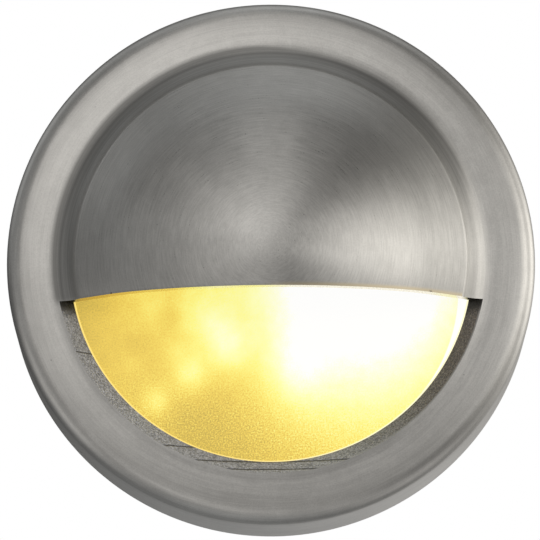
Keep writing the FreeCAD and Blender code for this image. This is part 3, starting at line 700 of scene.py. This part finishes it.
def brushed_steel(name, base, rough, stretch, size, limits, hooded):
    """Steel brushed round the axis: faint hair lines along the turning, soft bands, a few dark pits.

    The hood's lip has a painted warm glow of the lit glass near the lamp, painted shade along its edge away
    from the lamp, and nicks at its ends. On the ring, the flare is painted darker as shade and keeps its
    turning rings.
    """
    f = Finish(name, {"Metallic": 1.0, "Anisotropic Rotation": 0.25})
    x, z, run, edge = f.x, f.z, f.run(), size.hood_edge
    reach = f.hypot(x, z)
    f.set({"Anisotropic": f.spread(reach, 0.0, 0.011, 0.4 * stretch, stretch)})
    f.set({"Tangent": f.made("ShaderNodeTangent", direction_type="UV_MAP", uv_map="UVMap")})
    cosine, sine = x / reach, z / reach

    def lines(turns, per_metre, detail):
        """Noise drawn out along the turning."""
        return f.noise(f.join(cosine * turns, sine * turns, run * per_metre), 1.0, detail, 0.6)

    hair, band, fleck = lines(5.0, 4400.0, 2.0), lines(2.2, 800.0, 3.0), f.noise(f.place, 3600.0, 1.0)
    shares = (0.60, 0.16, 0.24) if hooded else (0.35, 0.35, 0.30)
    brush = hair * shares[0] + band * shares[1] + fleck * shares[2]
    metal = f.tones(brush, 0.36, 0.64, base, 0.9, 1.1)
    distance, chance = f.cells(230.0)
    pit = f.spread(distance, 0.040, 0.018) * f.spread(chance, 0.62, 0.66) * 0.6
    metal = f.mix(pit, metal, shade(base, 0.22))
    cloud = f.noise(f.place, 75.0) * 0.6 + f.noise(f.place, 420.0) * 0.4
    metal = f.mix(f.spread(cloud, 0.62, 0.38, 0.0, 0.09), metal, shade(base, 0.2))
    if hooded:
        lamp_side = f.spread(x, -0.003, 0.006)
        # Painted glow of the lit glass on the lip near the lamp
        lip = f.spread(z, edge + 0.0010, edge + 0.0001) * lamp_side
        metal = f.mix(lip, metal, [part * tint for part, tint in zip(base, LIP_GLOW_TINT)])
        # Painted shade along the lip's edge away from the lamp
        unlit_lip_shade = f.spread(z, edge + 0.0005, edge + 0.0001, 0.0, 0.16) * (1.0 - lamp_side)
        metal = f.mix(unlit_lip_shade, metal, shade(base, 0.2))
        chips = f.spread(f.noise(f.join(x * 700.0), 1.0), 0.60, 0.66) * f.spread(abs(x), 0.026, 0.033)
        nick = f.spread(z, edge + 0.00042, edge + 0.00008) * chips * 0.85
        metal = f.mix(nick, metal, shade(base, 0.12))
    else:
        # Painted shade in the flare's hollow: deeper at the upper right, only above the hood's edge, and
        # less at the right end where the light falls
        flare, foot = limits["flare"], limits["foot"]
        deeper = f.spread(x + z, 0.036, 0.056, 0.0, 0.0011)
        hollow = f.spread(run - deeper, flare, flare + 0.0013)
        hollow *= f.spread(run, foot, foot - 0.0022, 0.18, 1.0)
        hollow *= f.spread(z, edge - 0.0015, edge + 0.001) * f.spread(x, 0.0375, 0.0425, 1.0, 0.25)
        rings = f.noise(f.join(run * 1500.0), 1.0, 1.0)
        metal = f.mix(hollow * f.spread(rings, 0.3, 0.7, 0.58, 0.92), metal, shade(base, 0.44))
    f.rough(brush, rough - 0.02, rough + 0.02)
    return f.done(metal, brush, 0.05, 0.00003)


def cast_skin(base, size, limits):
    """Unworked cast metal: beaded skin with a few level mould lines, painted brown shade towards the right,
    tinted by the lit glass, and painted shadow under the hood.

    Along the window the skin is rubbed lighter. Behind the glass it is plain.
    """
    f = Finish("cast_skin", {"Metallic": 0.1})
    x, z, run = f.x, f.z, f.run()
    edge, worn, glass_front = size.hood_edge, limits["worn"], glass_box[0][1]
    in_front = f.spread(f.y, glass_front, glass_front - 0.0004)
    pebble = f.noise(f.place, 3300.0, 2.0, 0.7)
    bead, chance = f.cells(3400.0)
    level = z + (f.noise(f.place, 300.0) - 0.5) * 0.00014
    groove = 0.0
    for height, from_left, to_right in MOULD_LINES:
        line = f.spread(abs(level - height), 0.00022, 0.00007)
        line *= f.spread(x, from_left - 0.002, from_left) * f.spread(x, to_right, to_right - 0.002)
        groove = f.math("MAXIMUM", groove, line)
    groove *= in_front
    skin = f.ramp(pebble * 0.7 + chance * 0.3,
                  [(0.30, shade(base, 0.52)), (0.50, base), (0.72, shade(base, 1.7))])
    # Painted shade, tinted brown by the lit glass, on the wall's right side, which faces away from the
    # light
    skin = f.mix(f.spread(x, 0.004, 0.040, 0.0, 0.85) * in_front, skin, f.ramp(pebble, PAINTED_BROWN_SHADE))
    rubbed = f.spread(pebble * 0.0008 + run, worn + 0.0011, worn + 0.0004)
    rubbed *= f.spread(run, worn - 0.0003, worn - 0.0001) * f.spread(x, -0.01, 0.03, 0.4, 0.85)
    skin = f.mix(rubbed, skin, RUBBED)
    hidden = f.spread(z, edge - 0.0036, edge - 0.0006, 0.0, 0.92)
    skin = f.mix(hidden * in_front, skin, HOOD_SHADOW)
    f.rough(pebble, 0.78, 0.55, 0.25, 0.75)
    return f.done(f.mix(groove * 0.85, skin, shade(base, 0.12)), pebble + bead * 0.6 - groove, 0.5, 0.00014)


def cut_metal(look):
    """The hood's cut edge: polished, so that it mirrors the lit glass, and cross scratched.

    It is painted paler near the lamp as light of the lit glass on it, and painted dark with shade in the
    corners.
    """
    f = Finish("cut_edge", {"Metallic": 1.0})
    # The edge's colour away from the lamp; nearer the lamp it is painted paler as light of the glass
    cool = look.edge_away_from_lamp
    scratch = f.noise(f.join(f.x * 4200.0, f.y * 500.0), 1.0, 3.0)
    # Painted light of the lit glass, paler towards the lamp
    tone = f.mix(f.spread(scratch * 0.010 + f.x, -0.034, -0.004), cool, look.edge_lamp_lit)
    # Painted shade in the corners, where the cut face looks down into the dark
    tone = f.mix(f.spread(abs(f.x), 0.0385, 0.0402), tone, shade(cool, 0.05))
    tone = f.mix(f.spread(scratch, 0.55, 0.35, 0.0, 0.4), tone, shade(cool, 0.6))
    f.rough(scratch, 0.18, 0.32)
    return f.done(tone, scratch, 0.1, 0.00005)


# Pools of light on the glass: gain, middle across and up, half width across and up. The first is the lamp's
# own glow, the second the reflector's left end, and the small ones are the lamp's images in the dents. The
# last three are dim streaks between them
GLOW_BASE = 0.459
GLOW_POOLS = (
    (0.692, 0.0193, 0.0083, 0.0361, 0.0548),
    (0.190, -0.0316, -0.0100, 0.0142, 0.0900),
    (0.095, 0.0051, -0.0214, 0.0062, 0.0082),
    (0.100, -0.0147, -0.0111, 0.0071, 0.0085),
    (0.118, -0.0090, -0.0175, 0.0045, 0.0052),
    (0.137, -0.0168, -0.0229, 0.0040, 0.0044),
    (0.123, -0.0235, -0.0283, 0.0031, 0.0033),
    (0.030, -0.0117, -0.0121, 0.0030, 0.0030),
    (0.030, -0.0199, -0.0175, 0.0022, 0.0026),
    (0.022, -0.0285, -0.0210, 0.0026, 0.0026),
    (0.030, -0.0248, -0.0085, 0.0028, 0.0030),
    (-0.050, -0.0203, -0.0110, 0.0020, 0.0045),
    (-0.034, -0.0275, -0.0165, 0.0036, 0.0026),
    (-0.036, -0.0350, -0.0082, 0.0042, 0.0022),
)
# The bright crescent at the right of the glass, a painted glint of the lamp's light at its edge: the centre
# of its round inner edge, across and up
CRESCENT = (0.0041, -0.0052)


def lit_glass(look):
    """Grainy frosted glass lit from behind: white over the lamp, pale round it, then gold and dim."""
    f = Finish("frosted_glass", {"Roughness": 0.55, "IOR": 1.45, "Emission Strength": 0.96})
    x, z = f.x, f.z
    glow = GLOW_BASE
    for gain, across, up, wide, high in GLOW_POOLS:
        aside, above = (x - across) / wide, (z - up) / high
        glow = f.math("EXPONENT", (aside * aside + above * above) * -1.0) * gain + glow
    flat = f.join(x, 0.0, z)
    grain = f.noise(flat, 3000.0, 2.0, 0.75) - 0.5
    patch = f.noise(flat, 420.0) - 0.5
    coarse = f.spread(glow, 0.62, 0.95, 0.58, 0.12) * f.spread(z, -0.018, -0.036, 0.65, 1.5)
    frost = grain * coarse + glow + patch * 0.05
    lit = f.ramp(frost, [
        (0.600, look.glass_dim),
        (0.725, look.glass_gold),
        (0.785, (0.955, 0.76, 0.145)),
        (0.845, look.glass_pale),
        (0.905, (0.99, 0.99, 0.474)),
        (0.965, (1.0, 1.0, 0.783)),
        (0.998, look.glass_hot),
    ])
    # Painted glint at the glass's right edge
    swing = f.hypot(x - CRESCENT[0], z - CRESCENT[1])
    crescent = f.spread(swing, 0.0341, 0.0343) * f.spread(x, 0.024, 0.027)
    f.set({"Emission Color": f.mix(crescent, lit, look.glass_hot)})
    tone = f.ramp(grain, [(0.0, (0.10, 0.085, 0.03)), (0.16, (0.03, 0.026, 0.012))])
    return f.done(tone, grain, 0.1, 0.00005)


def lit_silicone(look):
    """The gasket's lip, lit through by the glass."""
    f = Finish("clear_silicone", {"Roughness": 0.45, "Emission Strength": 1.0})
    mottle = f.noise(f.place, 500.0)
    lit = f.mix(f.spread(f.x + mottle * 0.008, -0.012, 0.034), look.silicone, (1.0, 0.95, 0.62))
    f.set({"Emission Color": lit})
    return f.done(f.mix(0.8, lit, (0.0, 0.0, 0.0)), mottle, 0.1, 0.00005)


# Finishes of the pieces inside and behind


def machined(name, base, rough):
    """Turned or cast light metal: faint rings round the axis over a soft grain."""
    f = Finish(name, {"Metallic": 1.0})
    rings = f.noise(f.join(f.hypot(f.x, f.z) * 3800.0, f.y * 3800.0), 1.0)
    both = rings * 0.55 + f.noise(f.place, 900.0, 3.0) * 0.45
    f.rough(both, rough - 0.08, rough + 0.1)
    return f.done(f.tones(both, 0.35, 0.65, base, 0.72, 1.08), both, 0.2, 0.00006)


def plated(name, base, rough, tint):
    """Plated sheet or wire: cloudy colour and fine scratches."""
    f = Finish(name, {"Metallic": 1.0})
    cloud = f.noise(f.place, 190.0, 3.0)
    scratch = f.noise(f.join(f.x * 700.0, f.y * 700.0, f.z * 5200.0), 1.0)
    tone = f.mix(f.spread(cloud, 0.35, 0.65), base, tint)
    tone = f.mix(f.spread(scratch, 0.62, 0.74, 0.0, 0.45), tone, shade(base, 0.5))
    f.rough(cloud, rough - 0.07, rough + 0.09)
    return f.done(tone, scratch, 0.15, 0.00004)


def hammered(base):
    """Reflector sheet beaten all over with shallow round dents."""
    f = Finish("hammered_aluminium", {"Metallic": 1.0})
    haze = f.noise(f.place, 260.0, 3.0)
    f.rough(haze, 0.12, 0.26)
    return f.done(f.tones(haze, 0.35, 0.7, base, 0.85, 1.18), f.cells(420.0, "SMOOTH_F1")[0], 0.7, 0.0005)


def moulded(name, base, rough, scale, coarse):
    """Rubber, foam, ceramic or plastic: mottled colour and a fine skin."""
    f = Finish(name, {})
    skin = f.noise(f.place, scale, 3.0, 0.6)
    pore, chance = f.cells(scale * 0.7)
    tone = f.tones(f.noise(f.place, 130.0), 0.3, 0.7, base, 0.84, 1.12)
    speck = f.spread(pore, 0.2, 0.08) * f.spread(chance, 0.6, 0.7) * 0.5
    f.rough(skin, rough - 0.08, rough + 0.08)
    return f.done(f.mix(speck, tone, shade(base, 0.45)), skin + pore * coarse, 0.3 + 0.4 * coarse, 0.00012)


def braided(base):
    """Lead sleeving: a fine crossed braid."""
    f = Finish("lead_sleeve", {"Roughness": 0.7, "Sheen Weight": 0.3})
    aslant = f.y + f.z
    weave = f.math("SINE", (f.x + aslant) * 7600.0) * f.math("SINE", (f.x - aslant) * 7600.0)
    return f.done(f.tones(weave, -0.6, 0.6, base, 0.62, 1.15), weave, 0.5, 0.00015)


def quartz():
    """Clear quartz with a faint haze near the pinch."""
    f = Finish("quartz", {"Transmission Weight": 1.0, "IOR": 1.46})
    cloud = f.noise(f.place, 600.0, 3.0)
    haze = f.spread(f.x, 0.0135, 0.0095) * f.spread(cloud, 0.3, 0.8, 0.15, 0.5)
    f.set({"Roughness": haze + 0.02})
    return f.done(f.mix(haze, (0.97, 0.98, 0.98), (0.80, 0.79, 0.76)), cloud, 0.05, 0.00005)


def glowing(base):
    """The lit coil, hotter in places."""
    f = Finish("tungsten", {"Metallic": 1.0, "Roughness": 0.4, "Emission Strength": 2.0})
    heat = f.spread(f.noise(f.place, 1800.0), 0.35, 0.65)
    lit = f.mix(heat, shade(base, 0.7), (1.0, 0.86, 0.55))
    f.set({"Base Color": (0.2, 0.2, 0.21, 1.0), "Emission Color": lit})
    return f.material


# The studio round the light: each far card has a direction, a width in radians, a brightness, where 1 is
# white, and a tint, and each near softbox has a place, a side and a brightness
WARM = (1.0, 0.970, 0.913)
SOFT = (1.0, 0.979, 0.950)
PLAIN = (0.985, 1.0, 1.0)
CARDS = (
    ("window", (0.757, -0.637, 0.16), 0.22, 1.76, WARM),
    ("right wall", (0.95, 0.27, 0.18), 0.26, 1.63, WARM),
    ("right side", (0.97, 0.19, 0.13), 0.55, 0.38, WARM),
    ("right low", (0.64, -0.12, -0.76), 0.26, 0.48, SOFT),
    ("right back", (0.34, 0.93, -0.17), 0.26, 0.47, SOFT),
    ("left low", (-0.88, -0.22, -0.42), 0.26, 0.66, SOFT),
    ("left front", (-0.84, -0.49, 0.22), 0.26, 0.24, PLAIN),
    ("left high", (-0.81, 0.29, 0.51), 0.26, 0.43, PLAIN),
    ("front", (-0.29, -0.92, 0.27), 0.55, 0.20, SOFT),
    ("front low", (-0.22, -0.88, -0.43), 0.26, 0.54, SOFT),
    ("ground front", (0.17, -0.61, -0.77), 0.26, 0.30, SOFT),
    ("ground", (-0.21, -0.18, -0.96), 0.26, 0.27, PLAIN),
    ("ground back", (-0.27, 0.58, -0.76), 0.55, 0.22, PLAIN),
    ("ceiling front", (-0.17, -0.32, 0.93), 0.26, 0.31, PLAIN),
    ("ceiling left", (-0.61, 0.16, 0.78), 0.26, 0.21, PLAIN),
    ("ceiling", (-0.09, 0.24, 0.97), 0.26, 0.27, PLAIN),
    ("ceiling right", (0.25, 0.11, 0.96), 0.26, 0.41, PLAIN),
)
BRIGHTEST = 9.0  # the most that a card may have
FLOOR_HALF = 2.0
SOFTBOXES = (
    ("softbox_middle", (-0.05, -0.34, 0.08), 0.14, 0.61),
    ("softbox_right", (0.16, -0.34, 0.08), 0.14, 0.48),
    ("softbox_right_low", (0.16, -0.34, -0.02), 0.14, 0.42),
    ("softbox_near", (0.0, -0.22, 0.10), 0.10, 0.43),
    ("softbox_near_high", (0.0, -0.22, 0.24), 0.10, 0.32),
    ("softbox_near_left", (-0.08, -0.22, 0.10), 0.10, 0.21),
    ("softbox_near_right", (0.08, -0.22, 0.24), 0.10, 0.10),
    ("softbox_near_low", (-0.08, -0.22, 0.03), 0.10, 0.13),
)


# Operators, one for each piece or group of like pieces


class EYELID_OT_stage(bpy.types.Operator):
    """Sets the camera, the white surroundings, the soft lights and the floor"""

    bl_idname = "eyelid.stage"
    bl_label = "Stage"

    def execute(self, context):
        stage = context.scene.eyelid_stage
        context.scene.view_settings.view_transform = "Standard"
        self.camera(context, stage)
        self.world(context, stage)
        for softbox in SOFTBOXES:
            self.softbox(*softbox)
        self.floor(stage)
        return {"FINISHED"}

    def camera(self, context, stage):
        """The camera, below the axis and looking up."""
        lens = bpy.data.cameras.new("photo_camera")
        lens.sensor_width = 36.0
        lens.lens = stage.focal
        camera = placed("photo_camera", lens)
        way = Vector((0.0, -cos(stage.below), -sin(stage.below)))
        camera.location = Vector(stage.aim) + way * stage.distance
        turn = (-way).to_track_quat("-Z", "Y") @ Quaternion((0.0, 0.0, 1.0), -stage.roll)
        camera.rotation_euler = turn.to_euler()
        context.scene.camera = camera

    def world(self, context, stage):
        """White behind the light, and a plainer studio in front of it for the metal to reflect."""
        world = bpy.data.worlds.new("studio")
        context.scene.world = world
        world.use_nodes = True
        world.cycles.sampling_method = "NONE"
        bench = Bench(world.node_tree)
        bench.tree.nodes.clear()
        way = bench.made("ShaderNodeTexCoord", output="Generated")
        light = bench.named("ShaderNodeLightPath")
        mirrored = bench.math("MAXIMUM", light["Is Glossy Ray"], light["Is Transmission Ray"])
        tone = (1.0 - mirrored) * stage.fill
        for name, place, width, brightness, tint in CARDS:
            pair = {0: way, 1: place}
            facing = bench.made("ShaderNodeVectorMath", pair, "Value", operation="DOT_PRODUCT", label=name)
            fall = bench.math("EXPONENT", (facing - 1.0) / width ** 2)
            tone = bench.blend(fall, shade(tint, brightness, BRIGHTEST), tone)
        backdrop = mirrored * bench.spread(bench.split(way)[1], 0.985, 0.996)
        white = bench.math("MAXIMUM", light["Is Camera Ray"], backdrop)
        tone = bench.blend(tone, 1.0 - white, white)
        shown = bench.made("ShaderNodeBackground", {"Color": tone, "Strength": 1.0})
        bench.add("ShaderNodeOutputWorld", {0: shown})

    def softbox(self, name, place, side, brightness):
        """A soft square light that faces the light fitting; brightness 1 looks white in a mirror."""
        lamp = bpy.data.lights.new(name, "AREA")
        lamp.shape = "SQUARE"
        lamp.size = side
        lamp.energy = brightness * pi * side ** 2
        lamp.color = SOFT
        box = placed(name, lamp)
        box.visible_camera = False
        box.location = place
        box.rotation_euler = (-Vector(place)).to_track_quat("-Z", "Y").to_euler()

    def floor(self, stage):
        """A pale floor well below the light, which takes its shadow and isn't mirrored in the metal."""
        work = bmesh.new()
        bmesh.ops.create_grid(work, x_segments=8, y_segments=8, size=FLOOR_HALF)
        bmesh.ops.translate(work, verts=work.verts, vec=(0.0, 0.0, stage.floor))
        mesh = bpy.data.meshes.new("floor")
        work.to_mesh(mesh)
        work.free()
        f = Finish("pale_floor", {"Roughness": 0.9})
        cloud = f.noise(f.place, 6.0, 3.0)
        f.set({"Base Color": f.mix(cloud, (0.86, 0.86, 0.86), (0.90, 0.90, 0.90))})
        mesh.materials.append(f.material)
        floor = placed("floor", mesh)
        floor.visible_glossy = False


class EYELID_OT_cover(bpy.types.Operator):
    """Turns the ring and the hood, cuts the window and bores the set screw holes"""

    bl_idname = "eyelid.cover"
    bl_label = "Cover"

    def execute(self, context):
        size = context.scene.eyelid_shape
        look = context.scene.eyelid_colours
        hooded, ring, limits = cover_outlines(size)
        materials = [
            # The hood's steel is set darker and the rim's lighter: partly their two finishes, partly
            # painted shade and light for how the lamps fall on them
            brushed_steel("spun_hood", shade(look.steel, 0.875), 0.29, 0.85, size, limits, True),
            brushed_steel("satin_rim", shade(look.steel, 1.05), 0.33, 0.50, size, limits, False),
            cast_skin(look.cast, size, limits),
            cut_metal(look),
        ]
        mesh = bored(cover_mesh(size, hooded, ring, limits, materials), size)
        show(mesh, "cover_shell", "cover", "brushed_steel", "eyelid_cover")
        return {"FINISHED"}


class EYELID_OT_glass(bpy.types.Operator):
    """Turns the frosted glass and its gasket"""

    bl_idname = "eyelid.glass"
    bl_label = "Glass and gasket"

    def execute(self, context):
        size = context.scene.eyelid_shape
        look = context.scene.eyelid_colours
        radius = glass_box[1][0]
        back = -glass_box[1][1]
        front = -glass_box[0][1]
        edge = size.glass_edge
        outline = [(0.0, back), (radius * 0.5, back)]
        outline += bend((radius - edge, back + edge), edge, -QUARTER, 0.0, 5)
        outline += bend((radius - edge, front - edge), edge, 0.0, QUARTER, 5)
        outline += [(radius * share, front) for share in (0.75, 0.5, 0.25, 0.0)]
        disc = outward(turned("glass_disc", with_runs(outline), size.steps, lit_glass(look)))
        show(disc, "glass_disc", "cover", "frosted_glass", "lens")

        outer = gasket_box[1][0]
        ledge = -gasket_box[0][1]
        lip = radius - size.glass_overlap - size.gasket_peek
        soft = size.gasket_soft
        outline = [(radius, front), (radius, back), (outer, back), (outer, ledge)]
        outline += bend((lip + soft, ledge - soft), soft, QUARTER, 2 * QUARTER, 5)
        outline += bend((lip + soft, front + soft), soft, 2 * QUARTER, 3 * QUARTER, 5)
        outline.append(outline[0])
        ring = outward(turned("gasket_ring", with_runs(outline), size.steps, lit_silicone(look)))
        show(ring, "gasket_ring", "cover", "clear_silicone", "lens_gasket")
        return {"FINISHED"}


class EYELID_OT_fixings(bpy.types.Operator):
    """Finishes the clamping ring, the strap and every screw"""

    bl_idname = "eyelid.fixings"
    bl_label = "Ring, strap and screws"

    def execute(self, context):
        look = context.scene.eyelid_colours
        zinc = plated("zinc_steel", look.zinc, 0.34, shade(look.zinc, 0.8))
        dress(zinc, "lens_ring", "lampholder_strap", "terminal_screws")
        stainless = plated("stainless_screw", look.stainless, 0.27, shade(look.stainless, 0.85))
        dress(stainless, "lens_ring_screws", "set_screws", "reflector_screws", "strap_screws",
              "terminal_fixing_screw")
        return {"FINISHED"}


# Holes in the foam pad, for the two wall screws and the cable: across, up, radius
PAD_HOLES = (
    (0.038, 0.0, 0.0026),
    (-0.038, 0.0, 0.0026),
    (-0.015, 0.026, 0.0065),
)


class EYELID_OT_base(bpy.types.Operator):
    """Finishes the base, its seal, the cable inlet and the reflector, and makes the foam pad"""

    bl_idname = "eyelid.base"
    bl_label = "Base and pad"

    def execute(self, context):
        look = context.scene.eyelid_colours
        dress(machined("cast_aluminium", look.aluminium, 0.42), "base_plate", "base_spigot")
        dress(moulded("black_rubber", look.rubber, 0.55, 1800.0, 0.2), "body_o_ring", "cable_grommet")
        foam = moulded("black_foam", look.foam, 0.85, 1500.0, 1.0)
        pad = punched("foam_pad", pad_box[1][0], -pad_box[0][1], PAD_HOLES, foam)
        show(pad, "foam_pad", "base", "black_foam", "wall_pad")
        dress(hammered(look.aluminium), "reflector")
        return {"FINISHED"}


class EYELID_OT_lamp(bpy.types.Operator):
    """Finishes the socket, the lamp and the brass in socket and terminal block"""

    bl_idname = "eyelid.lamp"
    bl_label = "Socket and lamp"

    def execute(self, context):
        look = context.scene.eyelid_colours
        dress(moulded("ceramic", look.ceramic, 0.4, 2400.0, 0.3), "lampholder")
        brass = plated("brass", look.brass, 0.3, shade(look.brass, 0.78))
        dress(brass, "lampholder_contacts", "terminal_clamps")
        dress(plated("pin_metal", (0.62, 0.61, 0.60), 0.3, (0.5, 0.5, 0.5)), "lamp_pins")
        dress(quartz(), "lamp_capsule")
        dress(glowing(look.tungsten), "lamp_filament")
        return {"FINISHED"}


class EYELID_OT_wiring(bpy.types.Operator):
    """Finishes the terminal block and the two leads"""

    bl_idname = "eyelid.wiring"
    bl_label = "Wiring"

    def execute(self, context):
        look = context.scene.eyelid_colours
        dress(moulded("moulded_nylon", look.nylon, 0.45, 1600.0, 0.1), "terminal_block")
        dress(braided(look.sleeve), "lead_inner", "lead_outer")
        return {"FINISHED"}


OPERATORS = (
    EYELID_OT_stage,
    EYELID_OT_cover,
    EYELID_OT_glass,
    EYELID_OT_fixings,
    EYELID_OT_base,
    EYELID_OT_lamp,
    EYELID_OT_wiring,
)


class EYELID_PT_panel(bpy.types.Panel):
    """Lists the light's operators"""

    bl_idname = "EYELID_PT_panel"
    bl_label = "Eyelid light"
    bl_space_type = "VIEW_3D"
    bl_region_type = "UI"
    bl_category = "Eyelid light"

    def draw(self, context):
        for operator in OPERATORS:
            self.layout.operator(operator.bl_idname)


CLASSES = (EyelidShape, EyelidColours, EyelidStage, *OPERATORS, EYELID_PT_panel)


def register():
    """Make the groups, operators and panel known."""
    for known in CLASSES:
        bpy.utils.register_class(known)
    bpy.types.Scene.eyelid_shape = PointerProperty(type=EyelidShape)
    bpy.types.Scene.eyelid_colours = PointerProperty(type=EyelidColours)
    bpy.types.Scene.eyelid_stage = PointerProperty(type=EyelidStage)


def unregister():
    """Take them away again."""
    del bpy.types.Scene.eyelid_stage
    del bpy.types.Scene.eyelid_colours
    del bpy.types.Scene.eyelid_shape
    for known in reversed(CLASSES):
        bpy.utils.unregister_class(known)


def main():
    """Build the whole light."""
    register()
    bpy.ops.eyelid.stage()
    bpy.ops.eyelid.cover()
    bpy.ops.eyelid.glass()
    bpy.ops.eyelid.fixings()
    bpy.ops.eyelid.base()
    bpy.ops.eyelid.lamp()
    bpy.ops.eyelid.wiring()


if __name__ == "__main__":
    main()
